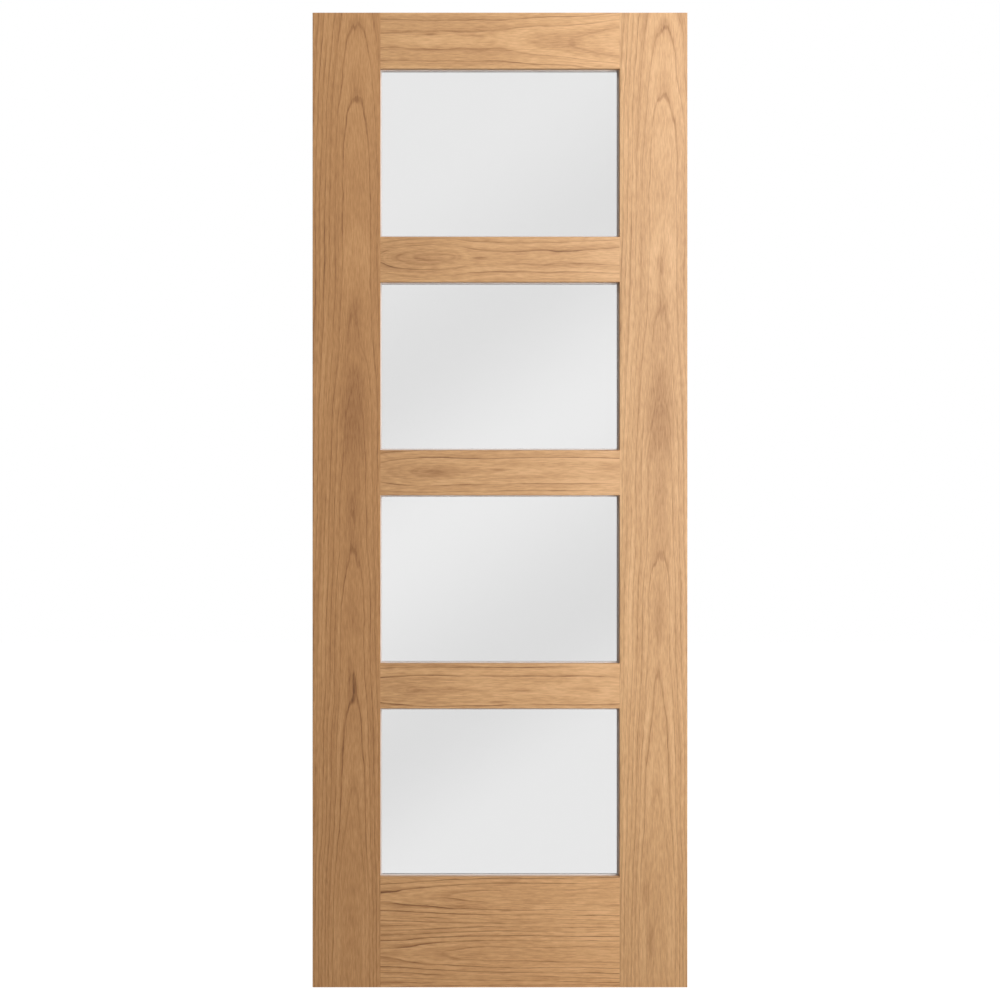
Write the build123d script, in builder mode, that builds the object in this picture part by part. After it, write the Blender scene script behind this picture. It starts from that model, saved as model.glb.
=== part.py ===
from build123d import *
import os

# A glazed fire door leaf in oak, made as a joiner makes it: engineered boards with a timber core,
# solid oak lippings and oak veneer on both faces, and fire glass held in rebates by oak beads.
# Millimetres. The origin is at the foot of the left (hinge) edge, halfway through the thickness.
# +X runs along the width, the front faces -Y, the beaded side faces +Y, and +Z is up.

# The leaf and its boards
LEAF_WIDTH = 762.0
LEAF_HEIGHT = 1981.0
LEAF_THICKNESS = 44.0
STILE_WIDTH = 138.0
TOP_RAIL_HEIGHT = 114.0
CROSS_RAIL_HEIGHT = 92.0
BOTTOM_RAIL_HEIGHT = 225.0

# What a board is made of
EDGE_LIPPING = 8.0        # solid oak along the outer edge of a stile
LIPPING_BACKING = 5.0     # solid oak left between a glazing rebate and the core
VENEER_THICKNESS = 0.6
ARRIS_RADIUS = 1.0        # rounding of the four long outer edges
SIGHT_CHAMFER = 1.0       # easing of the front edges around each light

# Glazing
GLASS_THICKNESS = 7.0
TAPE_THICKNESS = 2.0      # fire-rated glazing tape on each side of the glass
TAPE_PROUD = 3.0          # how far the tape stands out past the sight line
REBATE_DEPTH = 15.0       # how far a rebate runs into the boards behind the front lip
GLASS_EDGE_CLEARANCE = 3.0
BEAD_LAND = 3.0           # square part of a bead beside the glass
BEAD_SPLAY = 4.0          # how far a bead slopes back from the sight line to the back face

# Rails and lights, from the top down
RAIL_NAMES = ["top_rail", "upper_rail", "middle_rail", "lower_rail", "bottom_rail"]
LIGHT_NAMES = ["top_light", "upper_light", "lower_light", "bottom_light"]

# Levels through the thickness, from the front to the back
front_face = -LEAF_THICKNESS / 2
back_face = LEAF_THICKNESS / 2
core_front = front_face + VENEER_THICKNESS
core_back = back_face - VENEER_THICKNESS
glass_front = -GLASS_THICKNESS / 2
glass_back = GLASS_THICKNESS / 2
rebate_front = glass_front - TAPE_THICKNESS
bead_front = glass_back + TAPE_THICKNESS
bead_depth = back_face - bead_front

# Spans along the width: (low, high)
leaf_span = (0, LEAF_WIDTH)
left_stile_span = (0, STILE_WIDTH)
right_stile_span = (LEAF_WIDTH - STILE_WIDTH, LEAF_WIDTH)
rail_span = (left_stile_span[1], right_stile_span[0])
opening_lipping = REBATE_DEPTH + LIPPING_BACKING
glass_overlap = REBATE_DEPTH - GLASS_EDGE_CLEARANCE

# Spans up the height: the lights share equally what the rails leave
cross_rail_count = len(RAIL_NAMES) - 2
rail_heights = [TOP_RAIL_HEIGHT] + [CROSS_RAIL_HEIGHT] * cross_rail_count + [BOTTOM_RAIL_HEIGHT]
light_height = (LEAF_HEIGHT - sum(rail_heights)) / len(LIGHT_NAMES)
rail_levels = {}
light_levels = {}
level = LEAF_HEIGHT
for index, name in enumerate(RAIL_NAMES):
    rail_levels[name] = (level - rail_heights[index], level)
    level -= rail_heights[index]
    if index < len(LIGHT_NAMES):
        light_levels[LIGHT_NAMES[index]] = (level - light_height, level)
        level -= light_height


def wider(span, margin):
    """A span with a margin added at both ends."""
    return (span[0] - margin, span[1] + margin)


def slab(x, y, z, mode=Mode.ADD):
    """A block in the open part that fills three (low, high) spans."""
    with Locations((x[0], y[0], z[0])):
        Box(x[1] - x[0], y[1] - y[0], z[1] - z[0], align=(Align.MIN, Align.MIN, Align.MIN), mode=mode)


def write(builder, label):
    """Label a finished piece and write it to its own file."""
    builder.part.label = label
    export_step(builder.part, f"parts/{label}.step")


def write_worked(label, *blocks):
    """Write the part of the worked leaf that lies in some blocks, each of three spans."""
    with BuildPart() as piece:
        for x, y, z in blocks:
            slab(x, y, z)
        add(worked_leaf.part, mode=Mode.INTERSECT)
    write(piece, label)


os.makedirs("parts", exist_ok=True)

# The worked leaf: the whole timber outline with every edge and cut, which the boards are taken from
with BuildPart() as worked_leaf:
    slab(leaf_span, (front_face, back_face), (0, LEAF_HEIGHT))
    fillet(worked_leaf.edges().filter_by(Axis.Z), radius=ARRIS_RADIUS)
    for light in light_levels.values():
        slab(rail_span, (front_face, back_face), light, mode=Mode.SUBTRACT)
    sight_face = worked_leaf.faces().sort_by(Axis.Y)[0]
    chamfer([edge for wire in sight_face.inner_wires() for edge in wire.edges()], length=SIGHT_CHAMFER)
    for light in light_levels.values():
        slab(
            wider(rail_span, REBATE_DEPTH),
            (rebate_front, back_face),
            wider(light, REBATE_DEPTH),
            mode=Mode.SUBTRACT,
        )

core_depth = (core_front, core_back)
front_veneer_depth = (front_face, core_front)
back_veneer_depth = (core_back, back_face)

# Stiles: a lipping on the outer edge, a deeper one along the lights, the core between them
height = (0, LEAF_HEIGHT)
stiles = {
    "left_stile": (left_stile_span, EDGE_LIPPING, opening_lipping),
    "right_stile": (right_stile_span, opening_lipping, EDGE_LIPPING),
}
for name, (width, low_lipping, high_lipping) in stiles.items():
    core_width = (width[0] + low_lipping, width[1] - high_lipping)
    write_worked(f"{name}_core", (core_width, core_depth, height))
    write_worked(
        f"{name}_lippings",
        ((width[0], core_width[0]), core_depth, height),
        ((core_width[1], width[1]), core_depth, height),
    )
    write_worked(f"{name}_front_veneer", (width, front_veneer_depth, height))
    write_worked(f"{name}_back_veneer", (width, back_veneer_depth, height))

# Rails: a lipping along each edge that faces a light
for name, rail in rail_levels.items():
    low_lipping = 0 if name == RAIL_NAMES[-1] else opening_lipping
    high_lipping = 0 if name == RAIL_NAMES[0] else opening_lipping
    core_height = (rail[0] + low_lipping, rail[1] - high_lipping)
    lippings = []
    if low_lipping:
        lippings.append((rail_span, core_depth, (rail[0], core_height[0])))
    if high_lipping:
        lippings.append((rail_span, core_depth, (core_height[1], rail[1])))
    write_worked(f"{name}_core", (rail_span, core_depth, core_height))
    write_worked(f"{name}_lipping", *lippings)
    write_worked(f"{name}_front_veneer", (rail_span, front_veneer_depth, rail))
    write_worked(f"{name}_back_veneer", (rail_span, back_veneer_depth, rail))

# Each light: the pane, the tape on its two sides, and four mitred beads that fill the rebate behind it
for name, light in light_levels.items():
    glass_width = wider(rail_span, glass_overlap)
    glass_height = wider(light, glass_overlap)
    with BuildPart() as glass:
        slab(glass_width, (glass_front, glass_back), glass_height)
    write(glass, f"{name}_glass")

    with BuildPart() as tape:
        slab(glass_width, (rebate_front, glass_front), glass_height)
        slab(glass_width, (glass_back, bead_front), glass_height)
        slab(
            wider(rail_span, -TAPE_PROUD),
            (rebate_front, bead_front),
            wider(light, -TAPE_PROUD),
            mode=Mode.SUBTRACT,
        )
    write(tape, f"{name}_tape")

    low_x, high_x = wider(rail_span, REBATE_DEPTH)
    low_z, high_z = wider(light, REBATE_DEPTH)
    with BuildPart() as bead_ring:
        slab((low_x, high_x), (bead_front, back_face), (low_z, high_z))
        slab(rail_span, (bead_front, back_face), light, mode=Mode.SUBTRACT)
        bead_face = bead_ring.faces().sort_by(Axis.Y)[-1]
        chamfer(
            bead_face.inner_wires()[0].edges(),
            length=BEAD_SPLAY,
            length2=bead_depth - BEAD_LAND,
            reference=bead_face,
        )

    outer = [(low_x, low_z), (high_x, low_z), (high_x, high_z), (low_x, high_z)]
    inner = [
        (rail_span[0], light[0]),
        (rail_span[1], light[0]),
        (rail_span[1], light[1]),
        (rail_span[0], light[1]),
    ]
    corners_of_pairs = {"cross_beads": [(0, 1), (2, 3)], "side_beads": [(1, 2), (3, 0)]}
    for pair_name, sides in corners_of_pairs.items():
        with BuildPart() as beads:
            with BuildSketch(Plane.XZ.offset(-back_face)):
                for start, end in sides:
                    Polygon(outer[start], outer[end], inner[end], inner[start], align=None)
            extrude(amount=bead_depth)
            add(bead_ring.part, mode=Mode.INTERSECT)
        write(beads, f"{name}_{pair_name}")
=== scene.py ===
"""The looks of a glazed oak fire door leaf: veneered boards, lippings, beads, glass and a white studio."""

import logging
import math
from dataclasses import dataclass
from enum import Enum
from typing import Any

import bmesh
import bpy
import numpy as np
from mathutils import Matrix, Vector

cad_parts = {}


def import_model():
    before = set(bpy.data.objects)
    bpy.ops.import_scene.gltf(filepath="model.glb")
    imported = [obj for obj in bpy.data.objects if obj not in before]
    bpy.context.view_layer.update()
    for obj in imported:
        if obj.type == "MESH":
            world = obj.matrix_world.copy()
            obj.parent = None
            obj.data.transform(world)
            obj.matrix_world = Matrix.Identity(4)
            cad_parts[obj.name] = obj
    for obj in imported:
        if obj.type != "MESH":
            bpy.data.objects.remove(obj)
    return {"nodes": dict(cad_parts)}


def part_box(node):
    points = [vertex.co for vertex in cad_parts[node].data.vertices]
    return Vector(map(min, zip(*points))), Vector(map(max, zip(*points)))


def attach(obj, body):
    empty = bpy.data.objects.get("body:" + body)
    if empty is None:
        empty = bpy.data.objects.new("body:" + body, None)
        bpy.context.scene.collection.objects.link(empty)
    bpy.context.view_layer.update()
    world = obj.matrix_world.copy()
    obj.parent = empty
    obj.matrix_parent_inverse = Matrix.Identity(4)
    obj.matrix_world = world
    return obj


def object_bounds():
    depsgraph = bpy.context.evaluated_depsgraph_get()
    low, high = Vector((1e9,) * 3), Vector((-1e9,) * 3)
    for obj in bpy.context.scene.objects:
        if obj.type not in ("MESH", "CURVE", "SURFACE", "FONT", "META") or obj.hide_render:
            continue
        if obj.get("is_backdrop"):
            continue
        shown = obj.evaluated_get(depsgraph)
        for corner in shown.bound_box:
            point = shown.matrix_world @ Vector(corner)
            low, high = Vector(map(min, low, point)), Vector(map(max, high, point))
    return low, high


LOG = logging.getLogger("fire_door")
MM = 0.001
MERGE_DISTANCE = 0.001 * MM
ROOT_BODY = "root"
LIGHT_NAMES = ("top_light", "upper_light", "lower_light", "bottom_light")

Colour = tuple[float, float, float, float]


def linear(hex_colour: str) -> Colour:
    """Turn an sRGB hex colour into linear RGBA by the sRGB curve.

    Args:
        hex_colour: six hex digits after a hash sign.

    Returns:
        Linear red, green and blue, and an alpha of 1.
    """
    channels = [int(hex_colour[i:i + 2], 16) / 255 for i in (1, 3, 5)]
    return (*[c / 12.92 if c <= 0.04045 else ((c + 0.055) / 1.055) ** 2.4 for c in channels], 1.0)


def grey(value: float) -> Colour:
    """A linear grey, also for a ramp that carries a number."""
    return (value, value, value, 1.0)


def add(tree: bpy.types.NodeTree, kind: str, inputs: dict[int | str, Any] | None = None,
        **settings: Any) -> bpy.types.Node:
    """Add a node with its settings, values and links.

    Args:
        tree: the node tree that gets the node.
        kind: Blender's name for the node type.
        inputs: socket name or index to a value, a socket, or a node whose first output is meant.
        settings: attributes of the node.

    Returns:
        The new node.
    """
    made = tree.nodes.new(kind)
    for name, value in settings.items():
        setattr(made, name, value)
    for key, value in (inputs or {}).items():
        if isinstance(value, bpy.types.Node):
            value = value.outputs[0]
        if isinstance(value, bpy.types.NodeSocket):
            tree.links.new(value, made.inputs[key])
        else:
            made.inputs[key].default_value = value
    return made


def set_stops(ramp: bpy.types.ColorRamp, stops: list[tuple[float, Colour]],
              interpolation: str = "LINEAR") -> None:
    """Give a colour ramp its stops.

    Args:
        ramp: the ramp of a new node.
        stops: positions from 0 to 1, each with a linear colour.
        interpolation: Blender's name for how colours pass between stops.
    """
    ramp.interpolation = interpolation
    while len(ramp.elements) < len(stops):
        ramp.elements.new(1.0)
    for element, (position, colour) in zip(ramp.elements, stops):
        element.position = position
        element.color = colour


def seen_directly(tree: bpy.types.NodeTree) -> bpy.types.Node:
    """Find what the camera sees, bare or through glass, and not what lights a matt surface.

    Args:
        tree: the node tree of a floor or a world.

    Returns:
        The node that gives 1 on such rays and 0 on others.
    """
    path = add(tree, "ShaderNodeLightPath")
    seen = add(tree, "ShaderNodeMath", {
        0: path.outputs["Is Camera Ray"], 1: path.outputs["Is Transmission Ray"],
    }, operation="MAXIMUM")
    return add(tree, "ShaderNodeMath", {
        0: seen, 1: path.outputs["Diffuse Depth"],
    }, operation="SUBTRACT", use_clamp=True)


def new_material(name: str) -> tuple[bpy.types.Material, bpy.types.NodeTree]:
    """Make an empty node material.

    Args:
        name: the material's name.

    Returns:
        The material and its node tree.
    """
    material = bpy.data.materials.new(name)
    material.use_nodes = True
    material.node_tree.nodes.clear()
    return material, material.node_tree


def dress(node: bpy.types.Object, material: bpy.types.Material) -> None:
    """Give an object one material in all its slots.

    Args:
        node: a CAD node.
        material: its finish.
    """
    if not node.data.materials:
        node.data.materials.append(material)
    for slot in node.material_slots:
        slot.material = material
    LOG.info("dressed %s", node.name)


def mesh_piece(name: str, points: np.ndarray, faces: np.ndarray,
               material: bpy.types.Material) -> bpy.types.Object:
    """Make a mesh object at the origin from arrays.

    Args:
        name: the object's name.
        points: vertex places, one row each, in metres.
        faces: vertex numbers, one row of four for each face.
        material: the finish of the whole piece.

    Returns:
        The linked object.
    """
    mesh = bpy.data.meshes.new(name)
    mesh.from_pydata(points.tolist(), [], faces.tolist())
    mesh.validate()
    mesh.materials.append(material)
    piece = bpy.data.objects.new(name, mesh)
    bpy.context.scene.collection.objects.link(piece)
    return piece


def close_poles(mesh: bpy.types.Mesh) -> None:
    """Merge the points that meet at the poles of turned shapes.

    Args:
        mesh: the mesh of such shapes.
    """
    shell = bmesh.new()
    shell.from_mesh(mesh)
    bmesh.ops.remove_doubles(shell, verts=shell.verts, dist=MERGE_DISTANCE)
    shell.to_mesh(mesh)
    shell.free()


@dataclass(frozen=True)
class Cells:
    """The cells of a noise: their size across, along and through a board, and the octaves of finer noise.

    The shift sets one noise apart from the others on its board.
    """

    across_mm: float
    along_mm: float
    detail: float
    shift: float
    through_mm: float = 25.0


class Grain(Enum):
    """Which way the fibres of a piece run."""

    UPRIGHT = "upright"
    LEVEL = "level"

    def scale(self, cells: Cells) -> tuple[float, float, float]:
        """Turn the size of cells into their number in a metre.

        Args:
            cells: the cells of a noise.

        Returns:
            Cells for each metre along X, Y and Z.
        """
        sizes_mm = (cells.across_mm, cells.along_mm, cells.through_mm)
        across, along, through = (1 / (size * MM) for size in sizes_mm)
        return (across, through, along) if self is Grain.UPRIGHT else (along, through, across)


@dataclass(frozen=True)
class GrainField:
    """Object coordinates read along and across the fibres, and noise drawn out along them.

    Each board's seed moves its noise well away from the other boards', by a different share on each axis.
    """

    tree: bpy.types.NodeTree
    grain: Grain
    seed: float
    seed_step: float = 7.3
    axis_shares: tuple[float, float, float] = (1.0, 0.7, 1.9)
    roughness: float = 0.55

    def place(self) -> bpy.types.NodeSocket:
        """Object coordinates, in metres."""
        return add(self.tree, "ShaderNodeTexCoord").outputs["Object"]

    def axes(self) -> tuple[bpy.types.NodeSocket, bpy.types.NodeSocket]:
        """Split the coordinates by the grain.

        Returns:
            The coordinates across and along the fibres, in metres.
        """
        xyz = add(self.tree, "ShaderNodeSeparateXYZ", {0: self.place()})
        upright = self.grain is Grain.UPRIGHT
        return (xyz.outputs["X"], xyz.outputs["Z"]) if upright else (xyz.outputs["Z"], xyz.outputs["X"])

    def noise(self, cells: Cells) -> bpy.types.Node:
        """Draw noise from 0 to 1 along the fibres.

        Args:
            cells: the size of its cells and its octaves.

        Returns:
            The noise node.
        """
        shift = self.seed * self.seed_step + cells.shift
        place = add(self.tree, "ShaderNodeMapping", {
            "Vector": self.place(),
            "Location": tuple(shift * share for share in self.axis_shares),
            "Scale": self.grain.scale(cells),
        })
        return add(self.tree, "ShaderNodeTexNoise", {
            "Vector": place, "Scale": 1.0, "Detail": cells.detail, "Roughness": self.roughness,
        })

    def drift(self, cells: Cells, reach_mm: float) -> bpy.types.Node:
        """Draw noise that moves a place to and fro.

        Args:
            cells: the cells of the noise.
            reach_mm: how far it moves a place each way, at most.

        Returns:
            The node that gives the move in metres.
        """
        return add(self.tree, "ShaderNodeMapRange", {
            "Value": self.noise(cells), "To Min": -reach_mm * MM, "To Max": reach_mm * MM,
        })


@dataclass(frozen=True)
class Mark:
    """A soft patch in a veneer, by its centre and half sizes.

    It is dark where pores crowd, and pale at a negative strength. Broad patches are painted light and shade:
    dark at the rails' left ends, pale at their right ends and at the ends of the left stile.
    """

    along_mm: float
    across_mm: float
    length_mm: float
    width_mm: float
    strength: float


@dataclass(frozen=True)
class CrownFigure:
    """How a crown-cut veneer leaf passes the heart of its log.

    The cut lies at a depth from the heart that changes along the board. A growth ring shows where its
    radius equals the distance to the heart, so rings close in an arch where the depth grows and in an eye
    where it dips. A board that is wider than a leaf of veneer repeats it. Rings fade along their length down
    to the ring fade, and they are faint within the quiet radius and in the calm patch. The heart's line
    leans across by the lean for each metre along. The tint scales the board's red, green and blue; it is
    painted shade and sheen: the left stile darker and redder as if in shade, the other boards bluer as if
    under a sheen of light.
    """

    heart_mm: float
    depths_mm: tuple[tuple[float, float], ...]
    ring_mm: float
    seed: float
    ring_shift: float = 0.0
    ring_contrast: float = 1.0
    ring_fade: float = 0.4
    quiet_mm: float = 5.0
    lean: float = 0.0
    leaf_mm: float = 1000.0
    tint: tuple[float, float, float] = (1.0, 1.0, 1.0)
    marks: tuple[Mark, ...] = ()
    calm: Mark | None = None


@dataclass(frozen=True)
class OakVeneer:
    """Crown-cut oak veneer under satin lacquer: arched rings, fine dark pores and a low soft sheen.

    Real pores are about 0.3 mm wide, too fine to show, so they are drawn about 1 mm wide. The weights say how
    much rings, bands, streaks, fibres and pores add to the shade, which picks a colour from pale to dark.
    """

    name: str
    grain: Grain
    figure: CrownFigure
    shades: tuple[tuple[float, str], ...] = (
        (0.0, "#deae7c"), (0.28, "#cb9a68"), (0.72, "#a8774a"), (1.0, "#7c5230"),
    )
    shade_start: float = -0.67
    wander_cells: Cells = Cells(400.0, 420.0, 1.0, 3.1)
    wander_mm: float = 5.0
    swell_cells: Cells = Cells(38.0, 170.0, 2.0, 5.7)
    swell_mm: float = 3.6
    fray_cells: Cells = Cells(5.0, 40.0, 2.0, 9.2)
    fray_mm: float = 0.6
    ring_profile: tuple[tuple[float, float], ...] = (
        (0.0, 0.0), (0.4, 0.03), (0.475, 0.95), (0.5, 1.0), (0.54, 0.42), (0.68, 0.12), (1.0, 0.0),
    )
    ring_weight: float = 1.05
    weakest_ring: float = 0.4
    fade_cells: Cells = Cells(12.0, 110.0, 1.0, 8.4)
    fade_span: tuple[float, float] = (0.35, 0.65)
    quiet_blur: float = 0.15
    quiet_strength: float = 0.25
    band_cells: Cells = Cells(10.0, 450.0, 1.0, 10.0)
    band_weight: float = 0.6
    streak_cells: Cells = Cells(4.0, 160.0, 2.0, 4.0)
    streak_weight: float = 0.42
    following_roughness: float = 0.6
    fibre_cells: Cells = Cells(2.4, 22.0, 2.0, 2.4)
    fibre_weight: float = 0.8
    pore_cells: Cells = Cells(0.9, 14.0, 2.0, 4.8)
    pore_span: tuple[float, float] = (0.56, 0.75)
    pore_weight: float = 0.15
    roughness: tuple[float, float] = (0.36, 0.5)
    ior: float = 1.5
    relief_strength: float = 0.15
    relief_mm: float = 0.1

    def depth(self, tree: bpy.types.NodeTree, along: bpy.types.NodeSocket) -> bpy.types.Node:
        """Draw the depth of the cut along the board, as a curve through the figure's points.

        Args:
            tree: the material's node tree.
            along: the coordinate along the board.

        Returns:
            The node that gives the depth in metres.
        """
        points = self.figure.depths_mm
        start, end = points[0][0], points[-1][0]
        largest = max(depth for _, depth in points)
        share = add(tree, "ShaderNodeMapRange", {
            "Value": along, "From Min": start * MM, "From Max": end * MM,
        })
        curve = add(tree, "ShaderNodeFloatCurve", {"Value": share})
        knots = curve.mapping.curves[0].points
        while len(knots) < len(points):
            knots.new(0.5, 0.5)
        for knot, (place, depth) in zip(knots, points):
            knot.location = ((place - start) / (end - start), depth / largest)
            knot.handle_type = "AUTO_CLAMPED"
        curve.mapping.update()
        return add(tree, "ShaderNodeMath", {0: curve, 1: largest * MM}, operation="MULTIPLY")

    def heart_distance(self, field: GrainField) -> bpy.types.Node:
        """Work out the distance from the heart.

        It is the square root of the offset from the heart's line squared plus the depth squared. Slow noise
        lets the heart's line wander and the rings swell and pinch, and quick noise frays them.

        Args:
            field: the board's coordinates.

        Returns:
            The node that gives the distance in metres.
        """
        tree, figure = field.tree, self.figure
        across, along = field.axes()
        leaned = add(tree, "ShaderNodeMath", {0: along, 1: -figure.lean, 2: across}, operation="MULTIPLY_ADD")
        centred = add(tree, "ShaderNodeMath", {0: leaned, 1: figure.heart_mm * MM}, operation="SUBTRACT")
        half_leaf = figure.leaf_mm * MM / 2
        on_leaf = add(tree, "ShaderNodeMath", {0: centred, 1: half_leaf, 2: -half_leaf}, operation="WRAP")
        wander = field.drift(self.wander_cells, self.wander_mm)
        offset = add(tree, "ShaderNodeMath", {0: on_leaf, 1: wander}, operation="ADD")
        depth = self.depth(tree, along)
        square = add(tree, "ShaderNodeMath", {0: offset, 1: offset}, operation="MULTIPLY")
        total = add(tree, "ShaderNodeMath", {0: depth, 1: depth, 2: square}, operation="MULTIPLY_ADD")
        distance = add(tree, "ShaderNodeMath", {0: total}, operation="SQRT")
        for cells, reach_mm in ((self.swell_cells, self.swell_mm), (self.fray_cells, self.fray_mm)):
            drift = field.drift(cells, reach_mm)
            distance = add(tree, "ShaderNodeMath", {0: distance, 1: drift}, operation="ADD")
        return distance

    def rings(self, field: GrainField, distance: bpy.types.Node) -> bpy.types.Node:
        """Draw the growth rings.

        Each ring is numbered by its rounded distance over the ring width. A ramp across it rises fast and
        fades slowly, as pores crowd at the start of a year's growth. Each ring has its own strength, and
        fades and returns along its length. Near the heart and in the calm patch the rings are faint.

        Args:
            field: the board's coordinates.
            distance: the distance from the heart.

        Returns:
            The node that gives their darkness from 0 to 1.
        """
        tree, figure = field.tree, self.figure
        count = add(tree, "ShaderNodeMath", {
            0: distance, 1: 1 / (figure.ring_mm * MM), 2: figure.ring_shift,
        }, operation="MULTIPLY_ADD")
        number = add(tree, "ShaderNodeMath", {0: count}, operation="ROUND")
        from_middle = add(tree, "ShaderNodeMath", {0: count, 1: number}, operation="SUBTRACT")
        within = add(tree, "ShaderNodeMath", {0: from_middle, 1: 0.5}, operation="ADD")
        line = add(tree, "ShaderNodeValToRGB", {0: within})
        set_stops(line.color_ramp, [(place, grey(level)) for place, level in self.ring_profile], "EASE")
        own = add(tree, "ShaderNodeTexWhiteNoise", {"W": number}, noise_dimensions="1D")
        strength = add(tree, "ShaderNodeMapRange", {
            "Value": own, "To Min": self.weakest_ring, "To Max": 1.0,
        })
        fading = add(tree, "ShaderNodeMapRange", {
            "Value": field.noise(self.fade_cells),
            "From Min": self.fade_span[0], "From Max": self.fade_span[1],
            "To Min": figure.ring_fade, "To Max": 1.0,
        })
        quiet = figure.quiet_mm * MM
        loud = add(tree, "ShaderNodeMapRange", {
            "Value": distance,
            "From Min": quiet * (1 - self.quiet_blur), "From Max": quiet * (1 + self.quiet_blur),
            "To Min": self.quiet_strength, "To Max": 1.0,
        })
        factors = [strength, fading, loud]
        if figure.calm is not None:
            patch = self.mark(field, figure.calm)
            factors.append(add(tree, "ShaderNodeMath", {0: 1.0, 1: patch}, operation="SUBTRACT"))
        darkness = line
        for factor in factors:
            darkness = add(tree, "ShaderNodeMath", {0: darkness, 1: factor}, operation="MULTIPLY")
        return darkness

    def following(self, field: GrainField, distance: bpy.types.Node, cells: Cells) -> bpy.types.Node:
        """Draw noise that follows the rings.

        It is noise of the distance from the heart over the cells' width and of the place along the board
        over their length.

        Args:
            field: the board's coordinates.
            distance: the distance from the heart.
            cells: the cells of the noise.

        Returns:
            The noise node.
        """
        tree = field.tree
        _, along = field.axes()
        fine = add(tree, "ShaderNodeMath", {0: distance, 1: cells.across_mm * MM}, operation="DIVIDE")
        slow = add(tree, "ShaderNodeMath", {0: along, 1: cells.along_mm * MM}, operation="DIVIDE")
        place = add(tree, "ShaderNodeCombineXYZ", {0: fine, 1: slow, 2: self.figure.seed + cells.shift})
        return add(tree, "ShaderNodeTexNoise", {
            "Vector": place, "Scale": 1.0, "Detail": cells.detail, "Roughness": self.following_roughness,
        })

    def mark(self, field: GrainField, mark: Mark) -> bpy.types.Node:
        """Draw one mark: a bell curve along it times one across it, at its strength.

        Args:
            field: the board's coordinates.
            mark: the mark.

        Returns:
            The node that gives its darkness.
        """
        tree = field.tree
        across, along = field.axes()
        sides = ((along, mark.along_mm, mark.length_mm), (across, mark.across_mm, mark.width_mm))
        shares = []
        for axis, centre, half in sides:
            moved = add(tree, "ShaderNodeMath", {0: axis, 1: centre * MM}, operation="SUBTRACT")
            shares.append(add(tree, "ShaderNodeMath", {0: moved, 1: half * MM}, operation="DIVIDE"))
        square = add(tree, "ShaderNodeMath", {0: shares[0], 1: shares[0]}, operation="MULTIPLY")
        both = add(tree, "ShaderNodeMath", {0: shares[1], 1: shares[1], 2: square}, operation="MULTIPLY_ADD")
        falling = add(tree, "ShaderNodeMath", {0: both, 1: -1.0}, operation="MULTIPLY")
        bell = add(tree, "ShaderNodeMath", {0: falling}, operation="EXPONENT")
        return add(tree, "ShaderNodeMath", {0: bell, 1: mark.strength}, operation="MULTIPLY")

    def with_painted_shade_and_sheen(self, hex_colour: str) -> Colour:
        """A colour at this board's tint, which paints shade and sheen for how light falls on the board."""
        *channels, alpha = linear(hex_colour)
        return (*[channel * share for channel, share in zip(channels, self.figure.tint)], alpha)

    def material(self) -> bpy.types.Material:
        """Build the veneer's node material.

        The shade is the weighted sum of rings, bands, streaks, fibres and pores, and of marks times streaks.

        Returns:
            The material.
        """
        material, tree = new_material(self.name)
        field = GrainField(tree, self.grain, self.figure.seed)
        distance = self.heart_distance(field)
        rings = self.rings(field, distance)
        bands = self.following(field, distance, self.band_cells)
        streaks = self.following(field, distance, self.streak_cells)
        fibres = field.noise(self.fibre_cells)
        pores = add(tree, "ShaderNodeMapRange", {
            "Value": field.noise(self.pore_cells),
            "From Min": self.pore_span[0], "From Max": self.pore_span[1],
        })
        shade = add(tree, "ShaderNodeMath", {
            0: rings, 1: self.ring_weight * self.figure.ring_contrast, 2: self.shade_start,
        }, operation="MULTIPLY_ADD")
        layers = ((bands, self.band_weight), (streaks, self.streak_weight),
                  (fibres, self.fibre_weight), (pores, self.pore_weight))
        for source, weight in layers:
            shade = add(tree, "ShaderNodeMath", {0: source, 1: weight, 2: shade}, operation="MULTIPLY_ADD")
        # Broad marks paint shade at the rails' left ends, and light at their right ends and at the left
        # stile's ends.
        for mark in self.figure.marks:
            bell = self.mark(field, mark)
            shade = add(tree, "ShaderNodeMath", {0: bell, 1: streaks, 2: shade}, operation="MULTIPLY_ADD")
        colour = add(tree, "ShaderNodeValToRGB", {0: shade})
        # The board's tint scales every stop, painting shade and sheen into the colour.
        set_stops(colour.color_ramp, [(place, self.with_painted_shade_and_sheen(paint)) for place, paint in self.shades])
        roughness = add(tree, "ShaderNodeMapRange", {
            "Value": shade, "To Min": self.roughness[0], "To Max": self.roughness[1],
        })
        relief = add(tree, "ShaderNodeMath", {0: pores, 1: -1.0, 2: fibres}, operation="MULTIPLY_ADD")
        bump = add(tree, "ShaderNodeBump", {
            "Strength": self.relief_strength, "Distance": self.relief_mm * MM, "Height": relief,
        })
        shader = add(tree, "ShaderNodeBsdfPrincipled", {
            "Base Color": colour, "Roughness": roughness, "IOR": self.ior, "Normal": bump,
        })
        add(tree, "ShaderNodeOutputMaterial", {"Surface": shader})
        return material


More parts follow.
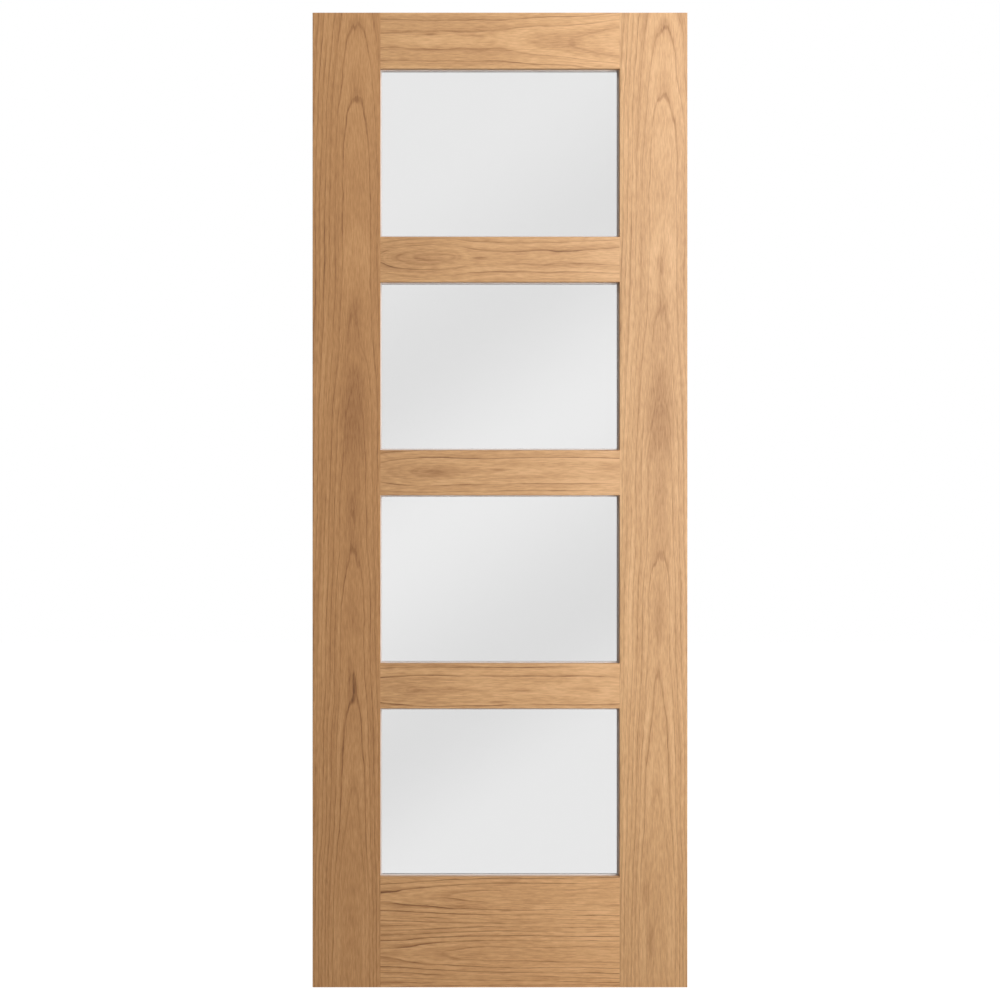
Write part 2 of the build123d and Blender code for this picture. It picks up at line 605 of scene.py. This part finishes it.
@dataclass(frozen=True)
class SolidOak:
    """Planed straight-grained oak under satin lacquer: close parallel lines and short pores."""

    name: str
    grain: Grain
    seed: float
    shades: tuple[tuple[float, str], ...] = ((0.25, "#dcb184"), (0.5, "#cb9d6e"), (0.85, "#a87a4d"))
    shade_start: float = -0.12
    line_cells: Cells = Cells(2.6, 400.0, 3.0, 1.0, 2.6)
    line_weight: float = 0.75
    broad_cells: Cells = Cells(14.0, 300.0, 1.0, 2.0, 14.0)
    broad_weight: float = 0.35
    pore_cells: Cells = Cells(0.8, 12.0, 2.0, 3.0, 0.8)
    pore_weight: float = 0.2
    roughness: tuple[float, float] = (0.42, 0.58)
    ior: float = 1.5
    relief_strength: float = 0.2
    relief_mm: float = 0.1

    def material(self) -> bpy.types.Material:
        """Build the solid oak's node material, its shade a weighted sum of lines, broad bands and pores.

        Returns:
            The material.
        """
        material, tree = new_material(self.name)
        field = GrainField(tree, self.grain, self.seed)
        lines = field.noise(self.line_cells)
        broad = field.noise(self.broad_cells)
        pores = field.noise(self.pore_cells)
        shade = add(tree, "ShaderNodeMath", {
            0: lines, 1: self.line_weight, 2: self.shade_start,
        }, operation="MULTIPLY_ADD")
        for source, weight in ((broad, self.broad_weight), (pores, self.pore_weight)):
            shade = add(tree, "ShaderNodeMath", {0: source, 1: weight, 2: shade}, operation="MULTIPLY_ADD")
        colour = add(tree, "ShaderNodeValToRGB", {0: shade})
        set_stops(colour.color_ramp, [(place, linear(paint)) for place, paint in self.shades])
        roughness = add(tree, "ShaderNodeMapRange", {
            "Value": shade, "To Min": self.roughness[0], "To Max": self.roughness[1],
        })
        bump = add(tree, "ShaderNodeBump", {
            "Strength": self.relief_strength, "Distance": self.relief_mm * MM, "Height": lines,
        })
        shader = add(tree, "ShaderNodeBsdfPrincipled", {
            "Base Color": colour, "Roughness": roughness, "IOR": self.ior, "Normal": bump,
        })
        add(tree, "ShaderNodeOutputMaterial", {"Surface": shader})
        return material


@dataclass(frozen=True)
class LaminatedCore:
    """Bare sawn laminated softwood: pale staves side by side, each with its own tone and glue line."""

    name: str
    grain: Grain
    seed: float = 4.0
    shades: tuple[tuple[float, str], ...] = ((0.15, "#e2c08f"), (0.85, "#c99b63"))
    shade_start: float = -0.05
    stave_mm: float = 27.0
    stave_weight: float = 0.45
    glue: str = "#7d5a36"
    glue_share: float = 0.025
    ring_cells: Cells = Cells(2.2, 300.0, 2.0, 1.0, 9.0)
    ring_weight: float = 0.75
    roughness: float = 0.75
    ior: float = 1.5
    relief_strength: float = 0.4
    relief_mm: float = 0.3

    def material(self) -> bpy.types.Material:
        """Build the core's node material, its staves numbered by the place across over their width.

        Returns:
            The material.
        """
        material, tree = new_material(self.name)
        field = GrainField(tree, self.grain, self.seed)
        across, _ = field.axes()
        staves = add(tree, "ShaderNodeMath", {0: across, 1: self.stave_mm * MM}, operation="DIVIDE")
        number = add(tree, "ShaderNodeMath", {0: staves}, operation="FLOOR")
        within = add(tree, "ShaderNodeMath", {0: staves}, operation="FRACT")
        own = add(tree, "ShaderNodeTexWhiteNoise", {"W": number}, noise_dimensions="1D")
        rings = field.noise(self.ring_cells)
        tone = add(tree, "ShaderNodeMath", {
            0: own, 1: self.stave_weight, 2: self.shade_start,
        }, operation="MULTIPLY_ADD")
        shade = add(tree, "ShaderNodeMath", {
            0: rings, 1: self.ring_weight, 2: tone,
        }, operation="MULTIPLY_ADD")
        wood = add(tree, "ShaderNodeValToRGB", {0: shade})
        set_stops(wood.color_ramp, [(place, linear(paint)) for place, paint in self.shades])
        seam = add(tree, "ShaderNodeMath", {0: within, 1: self.glue_share}, operation="LESS_THAN")
        colour = add(tree, "ShaderNodeMix", {0: seam, 6: wood, 7: linear(self.glue)}, data_type="RGBA")
        bump = add(tree, "ShaderNodeBump", {
            "Strength": self.relief_strength, "Distance": self.relief_mm * MM, "Height": rings,
        })
        shader = add(tree, "ShaderNodeBsdfPrincipled", {
            "Base Color": colour.outputs[2], "Roughness": self.roughness, "IOR": self.ior, "Normal": bump,
        })
        add(tree, "ShaderNodeOutputMaterial", {"Surface": shader})
        return material


@dataclass(frozen=True)
class FireGlass:
    """Clear polished soda-lime fire glass: a sharp reflection over a faint even grey."""

    name: str = "polished_fire_glass"
    tint: str = "#e0e0e0"
    roughness: float = 0.0
    ior: float = 1.52

    def material(self) -> bpy.types.Material:
        """Build the glass's node material.

        Returns:
            The material.
        """
        material, tree = new_material(self.name)
        shader = add(tree, "ShaderNodeBsdfPrincipled", {
            "Base Color": linear(self.tint), "Roughness": self.roughness, "IOR": self.ior,
            "Transmission Weight": 1.0,
        })
        add(tree, "ShaderNodeOutputMaterial", {"Surface": shader})
        return material


@dataclass(frozen=True)
class GlazingTape:
    """Closed-cell intumescent glazing tape: matt, off-white, with a faint cellular mottle."""

    name: str = "closed_cell_glazing_tape"
    seed: float = 6.0
    shades: tuple[tuple[float, str], ...] = ((0.3, "#f3eeeb"), (0.7, "#e0dad7"))
    foam_cells: Cells = Cells(1.2, 1.2, 2.0, 0.0, 1.2)
    roughness: float = 0.8
    ior: float = 1.45
    relief_strength: float = 0.3
    relief_mm: float = 0.1

    def material(self) -> bpy.types.Material:
        """Build the tape's node material, whose cells are the same size each way.

        Returns:
            The material.
        """
        material, tree = new_material(self.name)
        foam = GrainField(tree, Grain.UPRIGHT, self.seed).noise(self.foam_cells)
        colour = add(tree, "ShaderNodeValToRGB", {0: foam})
        set_stops(colour.color_ramp, [(place, linear(paint)) for place, paint in self.shades])
        bump = add(tree, "ShaderNodeBump", {
            "Strength": self.relief_strength, "Distance": self.relief_mm * MM, "Height": foam,
        })
        shader = add(tree, "ShaderNodeBsdfPrincipled", {
            "Base Color": colour, "Roughness": self.roughness, "IOR": self.ior, "Normal": bump,
        })
        add(tree, "ShaderNodeOutputMaterial", {"Surface": shader})
        return material


@dataclass(frozen=True)
class PinBrass:
    """Brass-plated steel panel pins: small bright heads, lightly scuffed by the punch."""

    name: str = "brass_plated_pin"
    seed: float = 2.0
    shades: tuple[tuple[float, str], ...] = ((0.35, "#c9a15a"), (0.75, "#8f6f3c"))
    scuff_cells: Cells = Cells(0.5, 0.5, 2.0, 0.0, 0.5)
    roughness: tuple[float, float] = (0.2, 0.5)

    def material(self) -> bpy.types.Material:
        """Build the pin's node material, duller and darker where it is scuffed.

        Returns:
            The material.
        """
        material, tree = new_material(self.name)
        scuffs = GrainField(tree, Grain.UPRIGHT, self.seed).noise(self.scuff_cells)
        colour = add(tree, "ShaderNodeValToRGB", {0: scuffs})
        set_stops(colour.color_ramp, [(place, linear(paint)) for place, paint in self.shades])
        roughness = add(tree, "ShaderNodeMapRange", {
            "Value": scuffs, "To Min": self.roughness[0], "To Max": self.roughness[1],
        })
        shader = add(tree, "ShaderNodeBsdfPrincipled", {
            "Base Color": colour, "Metallic": 1.0, "Roughness": roughness,
        })
        add(tree, "ShaderNodeOutputMaterial", {"Surface": shader})
        return material


@dataclass
class Board:
    """One engineered stile or rail: a core, its lippings and two veneers."""

    name: str
    veneer: OakVeneer
    lipping: bpy.types.Material
    core: bpy.types.Material

    def dress(self, nodes: dict[str, bpy.types.Object]) -> None:
        """Give the board's own nodes their finishes.

        Args:
            nodes: the CAD nodes by name.
        """
        veneer = self.veneer.material()
        finishes = {"_core": self.core, "_lipping": self.lipping, "_lippings": self.lipping,
                    "_front_veneer": veneer, "_back_veneer": veneer}
        for ending, material in finishes.items():
            node = nodes.get(self.name + ending)
            if node is not None:
                dress(node, material)


@dataclass
class GlazedLight:
    """One light: its pane, tape, mitred beads and the pins that hold them."""

    name: str
    glass: bpy.types.Material
    tape: bpy.types.Material
    side_bead: bpy.types.Material
    cross_bead: bpy.types.Material
    pin: bpy.types.Material
    rebate: float = 15 * MM
    bead_land: float = 3 * MM
    bead_splay: float = 4 * MM
    pin_spacing: float = 140 * MM
    pin_radius: float = 1.1 * MM
    pin_height: float = 0.25 * MM
    pin_rings: int = 3
    pin_sides: int = 12

    def dress(self, nodes: dict[str, bpy.types.Object]) -> None:
        """Give the light's own nodes their finishes.

        Args:
            nodes: the CAD nodes by name.
        """
        finishes = {"_glass": self.glass, "_tape": self.tape,
                    "_side_beads": self.side_bead, "_cross_beads": self.cross_bead}
        for ending, material in finishes.items():
            dress(nodes[self.name + ending], material)

    def pin_places(self) -> tuple[np.ndarray, np.ndarray, np.ndarray]:
        """Work out where the pins stand on the splayed faces of the four beads.

        Pins are spread evenly along each bead, halfway up its slope. A slope's normal leans from the bead
        towards the light by the splay over the sloped depth.

        Returns:
            Pin centres, outward normals and bead directions, one row each.
        """
        low, high = (np.array(corner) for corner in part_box(self.name + "_side_beads"))
        sight_low, sight_high = low + self.rebate, high - self.rebate
        slope_depth = high[1] - low[1] - self.bead_land
        middle_y = low[1] + self.bead_land + slope_depth / 2
        lean = np.array([slope_depth, self.bead_splay]) / math.hypot(slope_depth, self.bead_splay)
        centres, normals, runs = [], [], []
        for along, across in ((2, 0), (0, 2)):
            length = sight_high[along] - sight_low[along]
            count = math.ceil(length / self.pin_spacing)
            steps = sight_low[along] + (np.arange(count) + 0.5) * length / count
            for edge, inward in ((sight_low[across], 1.0), (sight_high[across], -1.0)):
                centre = np.zeros((count, 3))
                centre[:, along] = steps
                centre[:, across] = edge - inward * self.bead_splay / 2
                centre[:, 1] = middle_y
                normal = np.zeros((count, 3))
                normal[:, across] = inward * lean[0]
                normal[:, 1] = lean[1]
                run = np.zeros((count, 3))
                run[:, along] = 1.0
                centres.append(centre)
                normals.append(normal)
                runs.append(run)
        return np.concatenate(centres), np.concatenate(normals), np.concatenate(runs)

    def build_pins(self) -> bpy.types.Object:
        """Make the light's pin heads as one mesh.

        A head is a low dome: its radius grows from the crown to the rim, its height falls as one minus the
        radius share squared, and both are turned about the normal. A cone sunk in the bead closes it from
        below, and the points that meet at its two poles are merged.

        Returns:
            The pins' object, riding with the leaf.
        """
        centres, normals, runs = self.pin_places()
        sides = np.cross(normals, runs)
        dome = np.linspace(0.0, 1.0, self.pin_rings)
        share = np.append(dome, 0.0)
        height = self.pin_height * np.append(1 - dome ** 2, -1.0)
        turn = np.arange(self.pin_sides) * 2 * math.pi / self.pin_sides
        radius = self.pin_radius * share[None, :, None, None]
        flat = (np.cos(turn)[None, None, :, None] * runs[:, None, None, :]
                + np.sin(turn)[None, None, :, None] * sides[:, None, None, :])
        rise = height[None, :, None, None] * normals[:, None, None, :]
        points = (centres[:, None, None, :] + radius * flat + rise).reshape(-1, 3)
        ring, side = np.meshgrid(np.arange(self.pin_rings), np.arange(self.pin_sides), indexing="ij")
        following = (side + 1) % self.pin_sides
        quad = np.stack([
            ring * self.pin_sides + side, (ring + 1) * self.pin_sides + side,
            (ring + 1) * self.pin_sides + following, ring * self.pin_sides + following,
        ], axis=-1).reshape(-1, 4)
        start = np.arange(len(centres))[:, None, None] * len(share) * self.pin_sides
        faces = (start + quad[None]).reshape(-1, 4)
        pins = mesh_piece(self.name + "_bead_pins", points, faces, self.pin)
        close_poles(pins.data)
        pins.data.shade_smooth()
        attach(pins, ROOT_BODY)
        LOG.info("built %s with %d heads", pins.name, len(centres))
        return pins


@dataclass(frozen=True)
class Softbox:
    """A soft lamp: where it hangs, its size in metres and its power in watts.

    One that isn't reflected lights the leaf without showing in its lacquer and glass.
    """

    name: str
    place: tuple[float, float, float]
    width: float
    height: float
    power: float
    reflected: bool = True


@dataclass
class Studio:
    """A white studio: pale floor, soft lamps, a world of soft light bands, and the photograph's camera.

    The floor's grey is what lights the leaf. To the camera the floor glows white, and its thin grey keeps the
    leaf's shadow. The bands are places in turns of the band period, each with a share of the band peak.
    """

    leaf_low: Vector
    leaf_high: Vector
    image_span: float = 2.0325
    camera_distance: float = 5.0
    camera_left: float = 0.331
    floor_gap: float = 0.5 * MM
    floor_half: float = 12.0
    floor_grey: float = 0.6
    floor_glow: float = 0.97
    floor_thin_grey: float = 0.2
    ambient: float = 0.2
    band_peak: float = 2.74
    bands: tuple[tuple[float, float], ...] = (
        (-1.8, 0.1), (-1.4, 0.76), (-0.92, 0.76), (-0.44, 0.165), (0.0, 1.0),
        (0.56, 0.045), (0.92, 0.76), (1.4, 0.76), (1.8, 0.1),
    )
    band_period_deg: float = 7.04
    band_tilt_deg: float = 35.4
    band_phase: float = -0.228
    softboxes: tuple[Softbox, ...] = (
        Softbox("key_high", (1.3, -0.6, 2.3), 0.5, 0.5, 4.1, reflected=False),
        Softbox("key_low", (1.7, -0.9, 0.6), 0.4, 0.8, 7.1, reflected=False),
        Softbox("sheen_strip", (1.45, -2.4, 1.5), 0.5, 2.4, 33.5),
        Softbox("sheen_high", (1.45, -2.4, 2.2), 0.5, 1.2, 6.0),
        Softbox("top", (0.25, -1.4, 3.1), 1.4, 0.4, 8.4),
        Softbox("back_left", (-1.3, 2.2, 1.6), 2.2, 2.8, 32.0),
        Softbox("back_right", (2.0, 2.2, 1.6), 2.2, 2.8, 32.0),
    )

    def camera(self) -> None:
        """Stand the camera square on to the leaf, a little to its left, and shift the lens to centre it."""
        middle = (self.leaf_low + self.leaf_high) / 2
        data = bpy.data.cameras.new("camera")
        data.lens = data.sensor_width * self.camera_distance / self.image_span
        data.shift_x = self.camera_left / self.image_span
        camera = bpy.data.objects.new("camera", data)
        camera.location = (middle.x - self.camera_left, self.leaf_low.y - self.camera_distance, middle.z)
        camera.rotation_euler = (math.pi / 2, 0.0, 0.0)
        bpy.context.scene.collection.objects.link(camera)
        bpy.context.scene.camera = camera

    def floor(self) -> None:
        """Lay a pale floor under the leaf: white to the camera, with the leaf's shadow faint on it."""
        material, tree = new_material("pale_studio_floor")
        seen = seen_directly(tree)
        paint = add(tree, "ShaderNodeBsdfDiffuse", {"Color": grey(self.floor_grey)})
        white = add(tree, "ShaderNodeEmission", {"Color": grey(1.0), "Strength": self.floor_glow})
        thin_paint = add(tree, "ShaderNodeBsdfDiffuse", {"Color": grey(self.floor_thin_grey)})
        both = add(tree, "ShaderNodeAddShader", {0: white, 1: thin_paint})
        mixed = add(tree, "ShaderNodeMixShader", {0: seen, 1: paint, 2: both})
        add(tree, "ShaderNodeOutputMaterial", {"Surface": mixed})
        half, level = self.floor_half, self.leaf_low.z - self.floor_gap
        turns = ((-1, -1), (1, -1), (1, 1), (-1, 1))
        corners = np.array([(half * x, half * y, level) for x, y in turns])
        floor = mesh_piece("studio_floor", corners, np.array([[0, 1, 2, 3]]), material)
        floor.visible_glossy = False
        floor.visible_transmission = False
        floor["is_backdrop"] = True

    def world(self) -> None:
        """Fill the world: white where it is seen, soft slanted bands in reflections, plain light elsewhere.

        The bands are a ramp of the view direction, its X and Z weighted by the tilt: three bright strips with
        dim gaps between them, and little light beyond.
        """
        world = bpy.data.worlds.new("white_studio")
        world.use_nodes = True
        tree = world.node_tree
        tree.nodes.clear()
        bpy.context.scene.world = world
        direction = add(tree, "ShaderNodeTexCoord").outputs["Generated"]
        cycles = 1 / math.radians(self.band_period_deg)
        tilt = math.radians(self.band_tilt_deg)
        weights = (cycles * math.sin(tilt), 0.0, -cycles * math.cos(tilt))
        turns = add(tree, "ShaderNodeVectorMath", {0: direction, 1: weights}, operation="DOT_PRODUCT")
        shifted = add(tree, "ShaderNodeMath", {
            0: turns.outputs["Value"], 1: self.band_phase,
        }, operation="ADD")
        first, last = self.bands[0][0], self.bands[-1][0]
        share = add(tree, "ShaderNodeMapRange", {"Value": shifted, "From Min": first, "From Max": last})
        ramp = add(tree, "ShaderNodeValToRGB", {0: share})
        stops = [((turn - first) / (last - first), grey(level)) for turn, level in self.bands]
        set_stops(ramp.color_ramp, stops, "EASE")
        bands = add(tree, "ShaderNodeMath", {0: ramp, 1: self.band_peak}, operation="MULTIPLY")
        path = add(tree, "ShaderNodeLightPath")
        mirrored = add(tree, "ShaderNodeMath", {
            0: path.outputs["Is Glossy Ray"], 1: path.outputs["Is Singular Ray"],
        }, operation="MULTIPLY")
        unseen = add(tree, "ShaderNodeMix", {0: mirrored, 2: self.ambient, 3: bands})
        strength = add(tree, "ShaderNodeMix", {0: seen_directly(tree), 2: unseen, 3: 1.0})
        light = add(tree, "ShaderNodeBackground", {"Color": grey(1.0), "Strength": strength})
        add(tree, "ShaderNodeOutputWorld", {"Surface": light})

    def lights(self) -> None:
        """Hang the softboxes, each aimed at the middle of the leaf."""
        middle = (self.leaf_low + self.leaf_high) / 2
        for box in self.softboxes:
            data = bpy.data.lights.new(box.name, "AREA")
            data.shape = "RECTANGLE"
            data.size = box.width
            data.size_y = box.height
            data.energy = box.power
            lamp = bpy.data.objects.new(box.name, data)
            lamp.location = box.place
            lamp.rotation_euler = (middle - Vector(box.place)).to_track_quat("-Z", "Y").to_euler()
            lamp.visible_camera = False
            lamp.visible_transmission = False
            lamp.visible_glossy = box.reflected
            bpy.context.scene.collection.objects.link(lamp)

    def build(self) -> None:
        """Set up the whole studio."""
        self.camera()
        self.floor()
        self.world()
        self.lights()
        bpy.context.scene.view_settings.view_transform = "Standard"


def stile_figure(left_edge_mm: float, ring_contrast: float, tint: tuple[float, float, float],
                 own_marks: tuple[Mark, ...]) -> CrownFigure:
    """Draw the figure of a stile: tall arches that point up, on a line towards its right.

    The depth drops fast below the tip of an arch and then slowly, which makes long narrow fingers.

    Args:
        left_edge_mm: where the stile starts across the leaf.
        ring_contrast: how dark its rings are.
        tint: its veneer's share of red, green and blue, painted shade and sheen for how light falls on it.
        own_marks: marks that the other stile lacks, such as painted light at the ends of the left stile.

    Returns:
        The figure, the same for both stiles but for their painted tints and own marks, as leaves from one
        flitch are.
    """
    ring, first_ring, tip_drop, tip_length = 7.0, 6, 4.4, 100.0
    tips = (609.0, 903.0, 1218.0, 1380.0, 1831.0, 1966.0)
    past_top = 2040.0
    depths = [(-60.0, 18.0), (180.0, 22.0), (330.0, 32.0)]
    for index, height in enumerate(tips):
        depth = ring * (first_ring + index)
        if height - depths[-1][0] > 2 * tip_length:
            depths.append((height - tip_length, depth - tip_drop))
        depths.append((height, depth))
    depths.append((past_top, ring * (first_ring + len(tips))))
    flame = Mark(1150.0, left_edge_mm + 82.0, 200.0, 26.0, 0.42)
    tip = Mark(1960.0, left_edge_mm + 90.0, 18.0, 7.0, 0.25)
    knot = Mark(560.0, left_edge_mm + 82.0, 60.0, 14.0, 0.15)
    return CrownFigure(
        left_edge_mm + 77.0, tuple(depths), ring, seed=1.0, ring_contrast=ring_contrast, ring_fade=0.6,
        quiet_mm=38.0, lean=0.0075, tint=tint, marks=(flame, tip, knot, *own_marks),
        calm=Mark(1260.0, left_edge_mm + 85.0, 230.0, 40.0, 0.7),
    )


def figures() -> dict[str, tuple[Grain, CrownFigure]]:
    """Draw the figure of each board, placed on the leaf.

    Returns:
        The boards' grain directions and figures by name.
    """
    # Painted light: the left stile is paler towards its foot and its head.
    painted_light_ends = (Mark(40.0, 69.0, 220.0, 150.0, -0.2), Mark(1980.0, 69.0, 180.0, 150.0, -0.16))
    swirl = (Mark(100.0, 686.0, 38.0, 7.0, 0.6), Mark(190.0, 679.0, 34.0, 7.0, 0.45))
    # Each rail's tint is painted light: it shifts the rail towards blue like a sheen, and lightens or darkens
    # it for how light falls.
    top = CrownFigure(
        heart_mm=1924.0,
        depths_mm=((120.0, 53.0), (350.0, 53.0), (469.0, 47.2), (529.0, 45.0), (650.0, 32.0)),
        ring_mm=11.0, seed=2.0, ring_shift=-0.127, ring_contrast=0.65, tint=(1.03, 1.06, 1.09),
        marks=(Mark(236.0, 1937.0, 14.0, 2.5, 0.8), Mark(325.0, 1934.0, 22.0, 2.5, 0.6)),
    )
    upper = CrownFigure(
        heart_mm=1483.0,
        depths_mm=((130.0, 25.0), (200.0, 8.0), (257.0, 1.0), (300.0, 12.0), (340.0, 20.0), (417.0, 22.0),
                   (468.0, 20.0), (505.0, 21.8), (566.0, 19.4), (650.0, 16.0)),
        ring_mm=12.5, seed=3.0, ring_contrast=0.62, ring_fade=0.15, quiet_mm=18.0, tint=(0.98, 1.0, 1.025),
        marks=(Mark(220.0, 1480.0, 60.0, 12.0, 0.3), Mark(339.0, 1482.0, 14.0, 2.5, 0.9),
               # The last two marks are painted shade at the left end and painted light at the right end.
               Mark(180.0, 1480.0, 110.0, 80.0, 0.2), Mark(610.0, 1480.0, 80.0, 80.0, -0.3)),
    )
    middle = CrownFigure(
        heart_mm=1049.5,
        depths_mm=((130.0, 22.0), (200.0, 10.0), (250.0, 4.0), (300.0, 8.0), (400.0, 10.0), (650.0, 12.0)),
        ring_mm=14.4, seed=4.0, ring_contrast=0.8, ring_fade=0.15, quiet_mm=20.0, tint=(0.99, 1.01, 1.04),
        marks=(Mark(245.0, 1045.0, 40.0, 9.0, 0.4), Mark(384.0, 1052.0, 18.0, 2.2, 1.0),
               # The last two marks are painted shade at the left end and painted light at the right end.
               Mark(600.0, 1055.0, 26.0, 9.0, 0.4), Mark(180.0, 1046.0, 120.0, 80.0, 0.28),
               Mark(590.0, 1046.0, 90.0, 80.0, -0.42)),
    )
    lower = CrownFigure(
        heart_mm=602.5,
        depths_mm=((130.0, 22.0), (180.0, 16.0), (243.0, 9.0), (330.0, 12.0), (420.0, 14.5), (560.0, 15.0),
                   (650.0, 20.0)),
        ring_mm=16.4, seed=5.0, ring_contrast=0.8, ring_fade=0.15, quiet_mm=20.0, tint=(1.02, 1.045, 1.075),
        marks=(Mark(210.0, 602.0, 22.0, 8.0, 0.5), Mark(420.0, 603.0, 26.0, 2.5, 0.8),
               Mark(375.0, 580.0, 18.0, 2.0, 0.8), Mark(565.0, 606.0, 26.0, 8.0, 0.4),
               # These two marks are painted shade at the left end and painted light at the right end.
               Mark(180.0, 612.0, 110.0, 80.0, 0.15), Mark(590.0, 612.0, 100.0, 80.0, -0.45)),
    )
    bottom = CrownFigure(
        heart_mm=184.0,
        depths_mm=((120.0, 35.6), (180.0, 33.2), (228.0, 30.0), (326.0, 25.5), (509.0, 23.5), (650.0, 22.0)),
        ring_mm=8.0, seed=6.0, ring_shift=0.5, ring_contrast=1.15, ring_fade=0.3, leaf_mm=117.0,
        tint=(1.05, 1.055, 1.06),
        marks=(Mark(150.0, 193.0, 26.0, 3.0, 0.9), Mark(290.0, 166.0, 90.0, 6.0, 0.45),
               # The last two marks are painted shade at the left end and painted light at the right end.
               Mark(150.0, 68.0, 28.0, 5.0, 0.6), Mark(160.0, 90.0, 120.0, 160.0, 0.2),
               Mark(600.0, 110.0, 110.0, 160.0, -0.35)),
    )
    return {
        # The left stile's tint is painted shade, darker and redder; the right stile's is painted sheen,
        # bluer.
        "left_stile": (Grain.UPRIGHT, stile_figure(0.0, 0.72, (0.85, 0.79, 0.715), painted_light_ends)),
        "right_stile": (Grain.UPRIGHT, stile_figure(624.0, 0.6, (0.99, 1.025, 1.055), swirl)),
        "top_rail": (Grain.LEVEL, top),
        "upper_rail": (Grain.LEVEL, upper),
        "middle_rail": (Grain.LEVEL, middle),
        "lower_rail": (Grain.LEVEL, lower),
        "bottom_rail": (Grain.LEVEL, bottom),
    }


def main() -> None:
    """Load the frame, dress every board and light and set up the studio."""
    logging.basicConfig(level=logging.INFO, format="%(name)s: %(message)s")
    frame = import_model()
    nodes = frame["nodes"]
    cad_low, cad_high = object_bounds()
    cores, lippings, beads = {}, {}, {}
    for grain in Grain:
        cores[grain] = LaminatedCore(f"sawn_laminated_core_{grain.value}", grain).material()
        lippings[grain] = SolidOak(f"planed_oak_lipping_{grain.value}", grain, seed=1.0).material()
        beads[grain] = SolidOak(f"moulded_oak_bead_{grain.value}", grain, seed=2.0).material()
    for name, (grain, figure) in figures().items():
        veneer = OakVeneer(f"crown_cut_oak_veneer_{name}", grain, figure)
        Board(name, veneer, lippings[grain], cores[grain]).dress(nodes)
    glass = FireGlass().material()
    tape = GlazingTape().material()
    pin = PinBrass().material()
    for name in LIGHT_NAMES:
        light = GlazedLight(name, glass, tape, beads[Grain.UPRIGHT], beads[Grain.LEVEL], pin)
        light.dress(nodes)
        light.build_pins()
    Studio(cad_low, cad_high).build()


if __name__ == "__main__":
    main()
